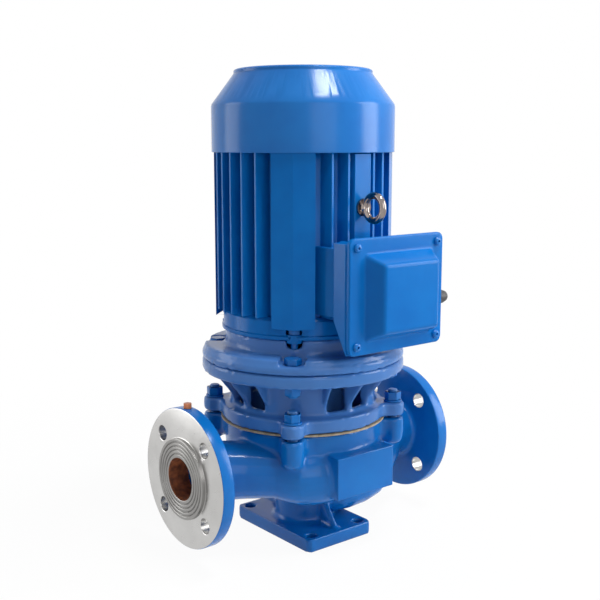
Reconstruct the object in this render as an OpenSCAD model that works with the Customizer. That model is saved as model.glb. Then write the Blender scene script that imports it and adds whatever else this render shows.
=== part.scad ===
// Vertical in-line pump: a volute casing on a foot, a lantern bracket and a finned flange motor.
// The origin is on the shaft axis at the underside of the foot. X runs along the ports, Z is up.

/* [Ports] */
// Height of the port centre line
port_z = 102; // [98:1:108]
// Distance between the two raised faces
face_to_face = 365; // [360:1:400]
// Bore of both ports
port_bore_d = 50; // [44:1:52]
// Outside diameter of the port flanges
port_flange_d = 165; // [160:1:175]
// Thickness of the port flanges behind the raised face
port_flange_t = 16; // [12:1:20]
// Diameter of the raised face
raised_face_d = 95; // [86:1:102]
// Height of the raised face
raised_face_h = 4.5; // [2:0.5:6]
// Bolt circle of the port flanges
port_bolt_circle = 125; // [123:1:129]
// Diameter of the port bolt holes
port_bolt_hole_d = 18; // [12:1:20]
// Outside diameter of the necks behind the flanges
neck_d = 73; // [70:1:76]

/* [Foot] */
// Foot size along the ports
foot_x = 100; // [96:1:120]
// Foot size across the ports
foot_y = 150; // [144:1:170]
// Foot thickness
foot_t = 16; // [12:1:18]
// Bolt hole spacing along the ports
foot_hole_x = 75; // [72:1:78]
// Bolt hole spacing across the ports
foot_hole_y = 125; // [118:1:128]
// Diameter of the foot bolt holes
foot_hole_d = 14; // [10:1:15]
// Outside diameter of the pedestal
pedestal_d = 70; // [68:1:74]
// Thickness of the foot gussets
gusset_t = 7; // [5:0.5:10]

/* [Casing] */
// Height of the volute's centre plane
volute_z = 98; // [97:0.5:99]
// Radius of the volute's outer tube at its large end
volute_end_r = 30; // [28:0.5:31]
// Radius of the volute's outer tube at its tongue
volute_start_r = 16; // [15:0.5:18]
// Outside diameter of the casing wall
casing_wall_d = 196; // [194:1:200]
// Height of the casing's joint face over the volute's centre plane
joint_rise = 50.5; // [48:0.5:53]
// Bore that takes the bracket's spigot
spigot_bore_d = 172; // [170:1:174]
// Circle of the four casing studs
stud_circle = 225; // [223:1:228]
// Radius of the ears
ear_r = 14; // [13:0.5:15]
// Left end of the bare pad
pad_x0 = -38; // [-42:1:-34]
// Right end of the bare pad
pad_x1 = 51; // [46:1:56]
// Distance of the pad's face from the shaft
pad_face = 112; // [110:1:114]
// Height of the pad
pad_h = 50; // [46:1:54]

/* [Impeller] */
// Outside diameter of the impeller
impeller_d = 158; // [150:1:160]
// Width of the impeller's outlet
outlet_w = 8; // [6:0.5:9]
// Thickness of the vanes
vane_t = 4; // [3:0.5:5]
// Number of vanes
vane_n = 6; // [5:1:7]
// Diameter of the impeller's eye
eye_d = 58; // [54:1:60]
// Running gap at the wear ring
wear_gap = 0.3; // [0.25:0.05:0.5]

/* [Bracket] */
// Thickness of the casing gasket
gasket_t = 2; // [1.5:0.5:3]
// Thickness of the bracket's ear flange
ear_flange_t = 17.5; // [15:0.5:19]
// Diameter of the bracket's ear flange
ear_flange_d = 204; // [202:1:208]
// Outside diameter of the lantern wall
lantern_d = 180; // [176:1:184]
// Thickness of the lantern wall
lantern_wall = 9; // [6:0.5:11]
// Outside diameter of the seal hub
hub_d = 100; // [92:1:104]
// Height of the lantern between its ear flange and its round flange
lantern_h = 42; // [40:0.5:46]
// Thickness of the bracket's round flange
bracket_flange_t = 16; // [14:0.5:18]
// Diameter of the round flanges
round_flange_d = 250; // [246:1:256]
// Circle of the four flange bolts
flange_bolt_circle = 215; // [213:1:220]

/* [Motor] */
// Thickness of the motor's flange
motor_flange_t = 10; // [8:0.5:12]
// Height of the raised ledge on the motor's flange
ledge_h = 7; // [5:0.5:9]
// Height of the end shield
shield_h = 36; // [35:0.5:40]
// Distance from the frame's lower end to the fins
fin_gap = 25; // [23:1:28]
// Length of the frame
frame_h = 216; // [200:1:230]
// Diameter over the fin tips
fin_tip_d = 215; // [212:1:215]
// Outside diameter of the frame's tube
tube_d = 180; // [176:1:184]
// Inside diameter of the frame's tube
tube_bore_d = 156; // [154:1:160]
// Thickness of the fins
fin_t = 3.4; // [2.5:0.1:5]
// Spacing of the fins
fin_pitch = 19; // [17:0.5:20]
// Diameter of the shaft at the bearings
journal_d = 30; // [29:0.5:31]
// Diameter of the shaft at the seal
seal_shaft_d = 28; // [26:0.5:28]
// Diameter of the shaft in the impeller
impeller_shaft_d = 22; // [20:0.5:24]
// Outside diameter of the bearings
bearing_d = 62; // [60:1:64]
// Width of the bearings
bearing_w = 16; // [15:1:17]
// Diameter of the bearing balls
ball_d = 9.4; // [8.8:0.1:9.6]
// Number of balls in a bearing
ball_n = 9; // [7:1:9]
// Air gap between rotor and stator
air_gap = 0.5; // [0.4:0.1:1]

/* [Fan cover] */
// Diameter of the fan cover
cover_d = 220; // [219:1:224]
// Thickness of the fan cover's sheet
cover_t = 2; // [1.5:0.1:2]
// How far the cover reaches down over the frame
cover_lap = 4; // [3:0.5:8]
// Height of the cover's upright wall
cover_wall_h = 55; // [50:1:60]
// Height of the cover's cone
cone_h = 42; // [38:1:46]
// Diameter of the cover's top edge
cover_top_d = 164; // [160:1:170]
// Number of slot rings in the grille
grille_rings = 6; // [4:1:6]

/* [Terminal box] */
// Left edge of the box
box_x0 = -50; // [-54:1:-48]
// Right edge of the box
box_x1 = 96; // [92:1:100]
// How far the lid hangs below the frame's lower end
box_drop = 10.5; // [8:0.5:12]
// Height of the lid
box_h = 131; // [126:1:136]
// Distance of the pad's face that carries the box
box_back = 115; // [113:1:117]
// Depth of the box behind its gasket
box_depth = 21; // [19:0.5:24]
// Thickness of the box walls
box_wall = 4; // [3:0.5:5]
// Thickness of the lid's rim
lid_t = 5; // [4:0.5:6]
// Height of the lid's raised front
lid_rise = 22; // [16:1:26]

/* [Eye bolt] */
// Height of the eye bolt over the lid
eye_rise = 30.5; // [26:0.5:40]
// Inside diameter of the eye
eye_ring_d = 20; // [18:1:22]
// Thickness of the eye's ring
eye_wire_d = 8; // [7:0.5:9]

/* [Clearances] */
// Radial gap of a press or thread fit
press_gap = 0.05; // [0.03:0.01:0.08]
// Radial gap of a located joint
seat_gap = 0.1; // [0.05:0.01:0.2]
// Gap between balls and races
ball_gap = 0.25; // [0.2:0.01:0.3]

/* [Hidden] */
$fn = 64;

blue = "royalblue";
steel = "silver";
overlap = 1; // how far one shape reaches into the next it is joined to
corners = [45, 135, 225, 315];

// Ports
face_x = face_to_face / 2;
flange_front_x = face_x - raised_face_h;
flange_back_x = flange_front_x - port_flange_t;
neck_x = flange_back_x - 14;
bore_len = face_x - neck_x;
neck_r = neck_d / 2;
bore_r = port_bore_d / 2;

// Casing
joint_z = volute_z + joint_rise;
pad_bottom = volute_z + 1 - pad_h / 2;
pad_top = pad_bottom + pad_h;
wall_r = casing_wall_d / 2;
stud_r = stud_circle / 2;
spigot_bore_r = spigot_bore_d / 2;
stud_rad = 6;
stud_hole_depth = 22;
ear_bottom_z = joint_z - 34;
spiral_start = 165;
spiral_end = -112;
spiral_start_r = 84; // centre line of the spiral at the tongue
spiral_end_r = 78; // centre line of the spiral at its large end
tube_wall = 5.5;
chamber_r = impeller_d / 2 + 4;
pedestal_r = pedestal_d / 2;

// Impeller, heights measured from the volute's centre plane
imp_r = impeller_d / 2;
shaft_r = seal_shaft_d / 2;
imp_shaft_r = impeller_shaft_d / 2;
eye_r = eye_d / 2;
collar_r = eye_r + 5;
outlet_z0 = volute_z - outlet_w / 2;
outlet_z1 = volute_z + outlet_w / 2;
shroud_t = 4;
imp_back_z = outlet_z1 + shroud_t;
imp_bottom_z = volute_z - 30;
hub_bottom_z = volute_z - 18;
hub_top_z = imp_back_z + 12;
hub_r = 19;
wear_out_r = collar_r + wear_gap + 5;
wear_top_z = imp_bottom_z + 8;
spigot_z = imp_back_z + 4;

// Bracket
ear_flange_z0 = joint_z + gasket_t;
ear_flange_z1 = ear_flange_z0 + ear_flange_t;
flange_bottom_z = ear_flange_z1 + lantern_h;
spigot_r = spigot_bore_r - seat_gap;
back_plate_t = 14;
lantern_r = lantern_d / 2;
flange_top_z = flange_bottom_z + bracket_flange_t;
flange_r = round_flange_d / 2;
bolt_r = flange_bolt_circle / 2;
register_r = 90;
register_h = 4;
hub_top_face_z = flange_bottom_z - 10;
seat_z = hub_top_face_z - 30;
seal_chamber_r = 32;
seat_r = 25;
seat_t = 8;
shaft_clear_r = shaft_r + 1.5;
window_z0 = ear_flange_z1 + 4;
window_z1 = flange_bottom_z - 3;
bolt_rad = 6;
bolt_hole_r = bolt_rad + 1;
washer_t = 2;
nut_h = 10;
nut_af = 18;
nut_clear_r = nut_af * 0.62 + 0.5;

// Motor
shield_z0 = flange_top_z;
shield_z1 = shield_z0 + motor_flange_t;
frame_bottom_z = shield_z0 + shield_h;
fin_bottom_z = frame_bottom_z + fin_gap;
frame_top_z = frame_bottom_z + frame_h;
ledge_z = shield_z1 + ledge_h;
bell_r = 96;
bell_in_r = 88;
boss_top_z = frame_bottom_z - 10;
shield_bolt_r = 92;
shield_bolt_rad = 4;
boss_r = 6;
lower_bearing_z = shield_z0 + 12;
upper_bearing_z = frame_top_z - 10;
journal_r = journal_d / 2;
bearing_r = bearing_d / 2;
bearing_pitch_r = (bearing_r + journal_r) / 2;
bearing_z = [lower_bearing_z, upper_bearing_z];
ball_r = ball_d / 2;
tip_r = fin_tip_d / 2;
tube_r = tube_d / 2;
tube_bore_r = tube_bore_d / 2;
ring_r = 98;
block_off = 56; // where a corner block begins, across the frame
core_inset = 43; // from either end of the fins to the stator core
core_z0 = fin_bottom_z + core_inset;
core_z1 = frame_top_z - core_inset;
core_r = tube_bore_r - seat_gap;
rotor_r = 45;
stator_in_r = rotor_r + air_gap;
rotor_shaft_r = 18;
slot_n = 24;
slot_r0 = 48.5;
slot_r1 = 64;
slot_w = 5.4;
cage_n = 20;
cage_r = 38;
cage_bar_r = 3;
end_ring_h = 9;
shield_rim_r = cover_d / 2 - cover_t - 0.2;
shield_top_z = frame_top_z + 8;
upper_hub_r = bearing_r + 7;
upper_screw_r = 93;
upper_screw_rad = 3;
washer_gap_z = 1.6; // room for the wave washer over the upper bearing
cover_bottom_z = frame_top_z - cover_lap;
cone_z = cover_bottom_z + cover_wall_h;
cover_top_z = cone_z + cone_h;
fan_z = shield_top_z + 14;
fan_shaft_r = 12;
fan_h = 27;
fan_blade_h = 40;
fan_blade_top = fan_z + fan_blade_h;
fan_r = 86;
shaft_top_z = fan_z + fan_h + 8;
circlip_z = fan_z + fan_h + 0.1;

// Terminal box, with y measured outwards from the shaft
box_z0 = frame_bottom_z - box_drop;
box_z1 = box_z0 + box_h;
box_front = box_back + box_depth;
box_gasket_t = 1.5;
lid_back = box_front + box_gasket_t;
lid_front = lid_back + lid_t;
lid_face = lid_front + lid_rise;
box_top_z = box_z1 - 6;
box_low_z = box_z0 + 38;
box_screw_inset = 10.5;
screw_x = [box_x0 + box_screw_inset, box_x1 - box_screw_inset];
screw_z = [box_z0 + box_screw_inset, box_z1 - box_screw_inset];
lid_screw_rad = 2.5;
lid_screw_grip = 4; // how far a lid screw reaches into the box
box_pad_x0 = box_x0 + 4;
box_pad_x1 = box_x1 - 8;
box_pad_z0 = box_low_z + 2;
box_pad_z1 = box_z1 - 13;
box_bolt_rad = 3;
box_bolt_x = [box_pad_x0 + 14, box_pad_x1 - 14];
box_bolt_z = [box_pad_z0 + 12, box_pad_z1 - 12];
cable_hole = [30, 22]; // half width and half height of the opening behind the board
board_x = (box_x0 + box_x1) / 2;
board_z = (box_pad_z0 + box_pad_z1) / 2;
gland_y = box_back + box_wall + 8.8;
gland_z = box_low_z + 13;
plug_z = gland_z + 34;
gland_hole_r = 6.5;
cable_r = 4.5;

// Eye bolt
eye_z = box_z1 + eye_rise;
eye_wire_r = eye_wire_d / 2;
eye_mid_r = eye_ring_d / 2 + eye_wire_r;
eye_shank_r = 5;
eye_collar_h = 4;
eye_pad_half = 12;
eye_y = tip_r + eye_collar_h + eye_mid_r + 1;

function arc(r, a0, a1, n) = [for (i = [0:n]) r * [cos(a0 + (a1 - a0) * i / n), sin(a0 + (a1 - a0) * i / n)]];
function shifted(points, by) = [for (p = points) p + by];
function mix(a, b, t) = a * (1 - t) + b * t;
function bezier(a, b, c, d, t) =
    a * pow(1 - t, 3) + b * 3 * t * pow(1 - t, 2) + c * 3 * t * t * (1 - t) + d * pow(t, 3);
function smooth(t) = t * t * (3 - 2 * t);

// One tube through a row of centres, with an ellipse on each: its half width and half height.
module swept_tube(centres, wide, tall, sides) {
    last = len(centres) - 1;
    rings = [
        for (i = [0:last])
            let (
                ahead = centres[min(i + 1, last)] - centres[max(i - 1, 0)],
                run = ahead / norm(ahead),
                across = cross(run, [0, 0, 1]),
                side = across / norm(across),
                rise = cross(side, run)
            )
            [
                for (k = [0:sides - 1])
                    let (a = 360 * (k + 0.5) / sides)
                    centres[i] + wide[i] * cos(a) * side + tall[i] * sin(a) * rise
            ]
    ];
    skin = [
        for (i = [0:last - 1], k = [0:sides - 1])
            let (
                a = i * sides + k,
                b = i * sides + (k + 1) % sides
            )
            each [[a, b, b + sides], [a, b + sides, a + sides]]
    ];
    near_cap = [for (k = [1:sides - 2]) [k + 1, k, 0]];
    far_cap = [for (k = [1:sides - 2]) [last * sides, last * sides + k, last * sides + k + 1]];
    polyhedron(points = [for (ring = rings) each ring], faces = concat(skin, near_cap, far_cap), convexity = 6);
}

module turned(points) {
    rotate_extrude() polygon(points);
}

// A solid or a hole round Z between two heights.
module pillar(r, z0, z1) {
    translate([0, 0, z0]) cylinder(r = r, h = z1 - z0);
}

module pipe(r_out, r_in, z0, z1) {
    difference() {
        pillar(r_out, z0, z1);
        pillar(r_in, z0 - overlap, z1 + overlap);
    }
}

// Copies at the four corners, on a circle.
module at_corners(r) {
    for (a = corners) rotate([0, 0, a]) translate([r, 0, 0]) children();
}

module hexagon(across_flats, h) {
    cylinder(r = across_flats / sqrt(3), h = h, $fn = 6);
}

module hex_nut(across_flats, bore, h) {
    difference() {
        intersection() {
            hexagon(across_flats, h);
            turned([
                [0, 0], [across_flats * 0.52, 0], [across_flats * 0.6, h * 0.1],
                [across_flats * 0.6, h * 0.9], [across_flats * 0.52, h], [0, h]
            ]);
        }
        translate([0, 0, -overlap]) cylinder(r = bore, h = h + 2 * overlap);
    }
}

// A hexagon head standing on z = 0 with its shank below.
module hex_bolt(across_flats, head_h, r, length) {
    intersection() {
        hexagon(across_flats, head_h);
        turned([
            [0, 0], [across_flats * 0.6, 0], [across_flats * 0.6, head_h * 0.85],
            [across_flats * 0.5, head_h], [0, head_h]
        ]);
    }
    turned([[0, -length], [r - 1, -length], [r, -length + 1], [r, overlap], [0, overlap]]);
}

// A round head with a hexagon socket, standing on z = 0.
module pan_screw(head_r, head_h, r, length) {
    difference() {
        turned([
            [0, -length], [r - 0.5, -length], [r, -length + 0.5], [r, 0], [head_r, 0],
            [head_r, head_h * 0.5], [head_r * 0.8, head_h * 0.88], [head_r * 0.45, head_h], [0, head_h]
        ]);
        translate([0, 0, head_h * 0.4]) hexagon(r * 1.1, head_h);
    }
}

// A disc of radius r with four ears on the stud circle, each joined to it by two hollow fillets.
module eared_disc(r, fillet_r) {
    reach = r + fillet_r;
    span = ear_r + fillet_r;
    turn = acos((stud_r * stud_r + reach * reach - span * span) / (2 * stud_r * reach));
    hollow = reach * [cos(turn), sin(turn)];
    on_disc = (r - overlap) * [cos(turn), sin(turn)];
    on_ear = [stud_r, 0] + (hollow - [stud_r, 0]) * (ear_r - overlap) / span;
    circle(r = r);
    for (a = corners) rotate([0, 0, a]) {
        translate([stud_r, 0]) circle(r = ear_r);
        for (flip = [0, 1]) mirror([0, flip]) difference() {
            polygon([[r * 0.7, -0.5], [r * 0.7, on_disc[1] * 0.7], on_disc, hollow, on_ear, [stud_r, 0], [stud_r, -0.5]]);
            translate(hollow) circle(r = fillet_r - 0.05);
        }
    }
}

// The centre line of the spiral: t runs from the tongue to the large end.
function spiral_point(r, t) =
    let (a = mix(spiral_start, spiral_end, t)) [r * cos(a), r * sin(a), volute_z];

// The discharge neck: from the spiral's large end on radius r to the port.
function discharge_point(r, t) =
    let (
        start = spiral_point(r, 1),
        run = [sin(spiral_end), -cos(spiral_end), 0],
        finish = [-neck_x, 0, port_z]
    )
    bezier(start, start + 45 * run, finish + [45, 0, 0], finish, t);

spiral_steps = [for (i = [0:21]) i / 22];
neck_steps = [for (i = [0:8]) i / 8];

module volute_outside() {
    swept_tube(
        concat(
            [for (t = spiral_steps) spiral_point(mix(spiral_start_r, spiral_end_r, t), t)],
            [for (t = neck_steps) discharge_point(spiral_end_r, t)]
        ),
        concat(
            [for (t = spiral_steps) mix(volute_start_r, volute_end_r, t)],
            [for (t = neck_steps) mix(volute_end_r, neck_r - 0.6, smooth(t))]
        ),
        concat(
            [for (t = spiral_steps) mix(volute_start_r, volute_end_r, t)],
            [for (t = neck_steps) mix(volute_end_r, neck_r - 0.6, smooth(t))]
        ),
        20
    );
}

module volute_passage() {
    wide_end = 12.5;
    tall_end = volute_end_r - 10;
    mid_r0 = spiral_start_r - 1;
    mid_r1 = spiral_end_r + volute_end_r - tube_wall - wide_end;
    swept_tube(
        concat(
            [for (t = spiral_steps) spiral_point(mix(mid_r0, mid_r1, t), t)],
            [for (t = neck_steps) discharge_point(mid_r1, t)]
        ),
        concat(
            [for (t = spiral_steps) mix(5, wide_end, t)],
            [for (t = neck_steps) mix(wide_end, bore_r - 0.2, smooth(t))]
        ),
        concat(
            [for (t = spiral_steps) mix(8, tall_end, t)],
            [for (t = neck_steps) mix(tall_end, bore_r - 0.2, smooth(t))]
        ),
        14
    );
}

// The suction bend dives under the volute and ends below the impeller's eye.
suction_low_z = foot_t + 27;
function suction_point(t) =
    bezier([neck_x, 0, port_z], [neck_x - 25, 0, port_z], [neck_x - 38, 0, suction_low_z - 6], [10, 0, suction_low_z], t);

suction_steps = [for (i = [0:13]) i / 13];

module suction_outside() {
    swept_tube(
        [for (t = suction_steps) suction_point(t)],
        [for (t = suction_steps) mix(neck_r - 0.6, pedestal_r - 0.7, t) + 3 * sin(180 * t)],
        [for (t = suction_steps) mix(neck_r - 0.6, 25, smooth(min(1, t * 1.6)))],
        20
    );
}

module suction_passage() {
    swept_tube(
        [for (t = suction_steps) suction_point(t)],
        [for (t = suction_steps) mix(bore_r - 0.2, pedestal_r - 7, smooth(t))],
        [for (t = suction_steps) mix(bore_r - 0.2, 19, smooth(min(1, t * 1.6)))],
        16
    );
}

module rounded_plate(x, y, z, r) {
    translate([-x / 2 + r, -y / 2, 0]) cube([x - 2 * r, y, z]);
    translate([-x / 2, -y / 2 + r, 0]) cube([x, y - 2 * r, z]);
    for (sx = [-1, 1], sy = [-1, 1])
        translate([sx * (x / 2 - r), sy * (y / 2 - r), 0]) cylinder(r = r, h = z);
}

// A port flange with its raised face and neck, facing along +Z from the shaft axis.
module port_flange() {
    fillet = 7;
    turned(concat(
        [[0, face_x], [raised_face_d / 2, face_x], [raised_face_d / 2, flange_front_x]],
        [[port_flange_d / 2 - 1, flange_front_x], [port_flange_d / 2, flange_front_x - 1]],
        [[port_flange_d / 2, flange_back_x + 1], [port_flange_d / 2 - 1, flange_back_x]],
        shifted(arc(fillet, 90, 180, 5), [neck_r + fillet, flange_back_x - fillet]),
        [[neck_r, neck_x - 4], [0, neck_x - 4]]
    ));
}

module port_cuts() {
    translate([0, 0, face_x - bore_len]) cylinder(r = bore_r, h = bore_len + overlap);
    for (r = [29, 33.5, 38, 42.5])
        pipe(r + 1, r, face_x - 1, face_x + overlap);
    for (a = corners)
        rotate([0, 0, a]) translate([port_bolt_circle / 2, 0, flange_back_x - overlap])
            cylinder(r = port_bolt_hole_d / 2, h = port_flange_t + 2 * overlap);
}

module at_ports() {
    for (side = [-1, 1]) translate([0, 0, port_z]) rotate([0, side * 90, 0]) children();
}

module foot() {
    fillet = 6;
    rounded_plate(foot_x, foot_y, foot_t, 6);
    turned(concat(
        [[0, foot_t - overlap], [pedestal_r + fillet, foot_t - overlap]],
        shifted(arc(fillet, 270, 180, 5), [pedestal_r + fillet, foot_t + fillet]),
        [[pedestal_r, volute_z - 24], [0, volute_z - 24]]
    ));
    for (side = [-1, 1])
        rotate([90, 0, 90]) linear_extrude(gusset_t, center = true) polygon([
            [0, foot_t - overlap], [side * (foot_y / 2 - 7), foot_t - overlap], [side * (foot_y / 2 - 7), foot_t + 1],
            [side * 47, foot_t + 30], [side * 34, foot_t + 56], [0, foot_t + 56]
        ]);
}

module casing_body() {
    band_z = joint_z - 21;
    under_r = wall_r - 0.6; // the wall below the eared band
    post_r = ear_r - 0.6;
    turned([
        [0, volute_z - 36], [pedestal_r - 2, volute_z - 36], [50, volute_z - 30], [82, volute_z - 16],
        [under_r - 2, volute_z - 8], [under_r, volute_z + 16], [under_r, band_z + 3], [0, band_z + 3]
    ]);
    translate([0, 0, band_z]) linear_extrude(joint_z - band_z) eared_disc(wall_r, 12);
    at_corners(stud_r) turned([
        [0, ear_bottom_z], [post_r * 0.55, ear_bottom_z], [post_r * 0.85, ear_bottom_z + 3],
        [post_r, ear_bottom_z + 8], [post_r, band_z + 2], [0, band_z + 2]
    ]);
    for (a = corners) rotate([0, 0, a]) translate([stud_r - 30, -post_r + 2, ear_bottom_z + 7])
        cube([30, 2 * post_r - 4, band_z - ear_bottom_z - 5]);
    translate([pad_x0, -pad_face, pad_bottom]) cube([pad_x1 - pad_x0, pad_face - 60, pad_top - pad_bottom]);
}

module casing_chamber() {
    turned([
        [0, suction_low_z], [eye_r, suction_low_z], [eye_r, imp_bottom_z - 1], [wear_out_r, imp_bottom_z - 1],
        [wear_out_r, wear_top_z], [chamber_r, outlet_z0 - shroud_t - 4], [chamber_r, spigot_z - 2],
        [spigot_bore_r, spigot_z - 2], [spigot_bore_r, joint_z + overlap], [0, joint_z + overlap]
    ]);
}

gauge_plug_x = -(flange_front_x + flange_back_x) / 2;
plug_top_z = port_z + port_flange_d / 2;
drain_z = suction_low_z + 4;

module at_drain() {
    rotate([0, 0, 135]) translate([pedestal_r, 0, drain_z]) rotate([0, 90, 0]) children();
}

module pump_casing() {
    color(blue) difference() {
        union() {
            casing_body();
            foot();
            at_ports() port_flange();
            volute_outside();
            suction_outside();
        }
        at_ports() port_cuts();
        casing_chamber();
        volute_passage();
        suction_passage();
        at_corners(stud_r) pillar(stud_rad + press_gap, joint_z - stud_hole_depth, joint_z + overlap);
        for (sx = [-1, 1], sy = [-1, 1])
            translate([sx * foot_hole_x / 2, sy * foot_hole_y / 2, -overlap])
                cylinder(r = foot_hole_d / 2, h = foot_t + 2 * overlap);
        translate([gauge_plug_x, 0, 0]) pillar(4 + press_gap, plug_top_z - 10, plug_top_z + overlap);
        at_drain() translate([0, 0, -8]) cylinder(r = 5 + press_gap, h = 12);
    }
}

module wear_ring() {
    color("goldenrod") pipe(wear_out_r - press_gap, collar_r + wear_gap, imp_bottom_z - 1, wear_top_z - 0.2);
}

module gauge_plug() {
    color("sienna") translate([gauge_plug_x, 0, plug_top_z]) {
        hexagon(9, 6);
        turned([[0, -9], [4, -9], [4, overlap], [0, overlap]]);
    }
}

module drain_plug() {
    color("sienna") at_drain() {
        translate([0, 0, 0.2]) hexagon(13, 7);
        turned([[0, -7], [5, -7], [5, 1], [0, 1]]);
    }
}

module casing_gasket() {
    color("tan") pipe(ear_flange_d / 2 + 0.5, spigot_bore_r + 2, joint_z, ear_flange_z0);
}

module casing_studs() {
    color(blue) at_corners(stud_r) turned([
        [0, joint_z - stud_hole_depth + 1], [stud_rad - 1, joint_z - stud_hole_depth + 1],
        [stud_rad, joint_z - stud_hole_depth + 2], [stud_rad, ear_flange_z1 + washer_t + nut_h + 2],
        [stud_rad - 1, ear_flange_z1 + washer_t + nut_h + 3], [0, ear_flange_z1 + washer_t + nut_h + 3]
    ]);
}

module casing_washers() {
    color(blue) at_corners(stud_r)
        pipe(nut_af * 0.62, stud_rad + 0.5, ear_flange_z1, ear_flange_z1 + washer_t);
}

module casing_nuts() {
    color(blue) at_corners(stud_r)
        translate([0, 0, ear_flange_z1 + washer_t]) hex_nut(nut_af, stud_rad + press_gap, nut_h);
}

module sector(r, a0, a1, z0, z1) {
    translate([0, 0, z0]) linear_extrude(z1 - z0) polygon(concat([[0, 0]], arc(r, a0, a1, 2)));
}

module lantern_bracket() {
    inner_r = lantern_r - lantern_wall;
    plate_top = spigot_z + back_plate_t;
    color(blue) difference() {
        union() {
            translate([0, 0, ear_flange_z0]) linear_extrude(ear_flange_t) eared_disc(ear_flange_d / 2, 12);
            pillar(spigot_r, spigot_z, ear_flange_z0 + overlap);
            pillar(lantern_r, ear_flange_z0 + overlap, flange_bottom_z + overlap);
            turned([
                [0, flange_bottom_z], [flange_r - 2, flange_bottom_z], [flange_r, flange_bottom_z + 2],
                [flange_r, flange_top_z], [0, flange_top_z]
            ]);
            for (side = [0:3], lean = [-22.5, 0, 22.5])
                rotate([90, 0, side * 90 + lean]) linear_extrude(5, center = true) polygon([
                    [lantern_r - 4, window_z0], [lantern_r - 1, window_z0 + 5], [flange_r - 12, flange_bottom_z - 2],
                    [flange_r - 12, flange_bottom_z + 2], [lantern_r - 4, flange_bottom_z + 2]
                ]);
        }
        difference() {
            union() {
                pillar(spigot_r - lantern_wall, plate_top, ear_flange_z1 + overlap);
                pillar(inner_r, ear_flange_z1, flange_top_z - register_h - 6);
                pillar(register_r - 8, flange_top_z - register_h - 8, flange_top_z + overlap);
                pillar(register_r + seat_gap, flange_top_z - register_h - 0.3, flange_top_z + overlap);
            }
            pillar(hub_d / 2, plate_top - overlap, hub_top_face_z);
        }
        pillar(seal_chamber_r, spigot_z - overlap, seat_z - overlap);
        pillar(seat_r + press_gap, seat_z - 2 * overlap, seat_z + seat_t);
        pillar(shaft_clear_r, seat_z, hub_top_face_z + overlap);
        for (side = [0:3], lean = [-11.5, 11.5])
            difference() {
                sector(lantern_r + 6, side * 90 + lean - 9, side * 90 + lean + 9, window_z0, window_z1);
                pillar(inner_r - 4, window_z0 - overlap, window_z1 + overlap);
            }
        at_corners(stud_r) pillar(stud_rad + 0.6, ear_flange_z0 - overlap, ear_flange_z1 + overlap);
        at_corners(bolt_r) {
            pillar(bolt_hole_r, flange_bottom_z - overlap, flange_top_z + overlap);
            pillar(nut_clear_r, flange_bottom_z - nut_h - 4, flange_bottom_z);
        }
    }
}

module seal_seat() {
    color("dimgray") pipe(seat_r, shaft_r + 1, seat_z, seat_z + seat_t - 0.1);
}

module seal_head() {
    color("slategray") turned([
        [shaft_r + press_gap, seat_z - 14], [22, seat_z - 14], [23, seat_z - 12], [23, seat_z - 4],
        [20, seat_z - 3], [20, seat_z - 0.3], [shaft_r + press_gap, seat_z - 0.3]
    ]);
}

// The seal's spring: an open coil between the impeller's hub and the seal's head.
module seal_spring() {
    wire = 1.6;
    coil_r = shaft_r + wire + 0.5;
    turns = 5;
    steps = 90;
    z0 = hub_top_z + wire + 0.2;
    z1 = seat_z - 14 - wire - 0.2;
    centres = [
        for (i = [0:steps])
            let (a = 360 * turns * i / steps) [coil_r * cos(a), coil_r * sin(a), mix(z0, z1, smooth(i / steps))]
    ];
    widths = [for (i = [0:steps]) wire];
    color("silver") swept_tube(centres, widths, widths, 6);
}

module flange_end_shield() {
    lip_z = lower_bearing_z - 4;
    color(blue) difference() {
        union() {
            turned([
                [0, shield_z0], [register_r, shield_z0], [flange_r, shield_z0], [flange_r, shield_z1 - 1.5],
                [flange_r - 1.5, shield_z1], [0, shield_z1]
            ]);
            pipe(register_r, register_r - 8, shield_z0 - register_h, shield_z0 + overlap);
            difference() {
                turned([
                    [bell_r - 4, shield_z1 - overlap], [flange_r - 3, shield_z1 - overlap], [flange_r - 3, ledge_z - 1],
                    [flange_r - 4, ledge_z], [bell_r - 4, ledge_z]
                ]);
                for (a = corners) rotate([0, 0, a]) translate([bell_r + 1, -15, shield_z1])
                    cube([40, 30, ledge_h + overlap]);
            }
            pillar(bell_r, shield_z1 - overlap, frame_bottom_z);
            at_corners(shield_bolt_r) pillar(boss_r, shield_z1 - overlap, boss_top_z);
        }
        difference() {
            pillar(bell_in_r, shield_z1 + 4, frame_bottom_z + overlap);
            pillar(bearing_r + 7, shield_z1, lower_bearing_z + bearing_w + 2);
            for (i = [0:7]) rotate([0, 0, 22.5 + 45 * i]) translate([bearing_r + 5, -2.5, shield_z1])
                cube([bell_in_r - bearing_r, 5, 8]);
        }
        pillar(bearing_r + press_gap, lower_bearing_z, frame_bottom_z + overlap);
        pillar(shaft_r + 2, lip_z - 10, frame_bottom_z);
        pillar(bearing_r - 6, lip_z - 10, lip_z);
        at_corners(bolt_r) pillar(bolt_hole_r, shield_z0 - overlap, shield_z1 + overlap);
        at_corners(shield_bolt_r) {
            pillar(shield_bolt_rad + press_gap, shield_z1 + 2, frame_bottom_z);
            translate([-8, -9, boss_top_z]) cube([20, 18, 20]);
        }
    }
}

module flange_bolts() {
    color(blue) at_corners(bolt_r) translate([0, 0, shield_z1]) rotate([0, 0, 30])
        hex_bolt(nut_af, 7.5, bolt_rad, shield_z1 - flange_bottom_z + nut_h + 3);
}

module flange_nuts() {
    color(blue) at_corners(bolt_r) translate([0, 0, flange_bottom_z - nut_h])
        hex_nut(nut_af, bolt_rad + press_gap, nut_h);
}

// Where a fin that stands y off the middle meets a circle, less a little for its corner.
function fin_reach(r, y) = sqrt(r * r - pow(abs(y) + fin_t / 2, 2));

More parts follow.
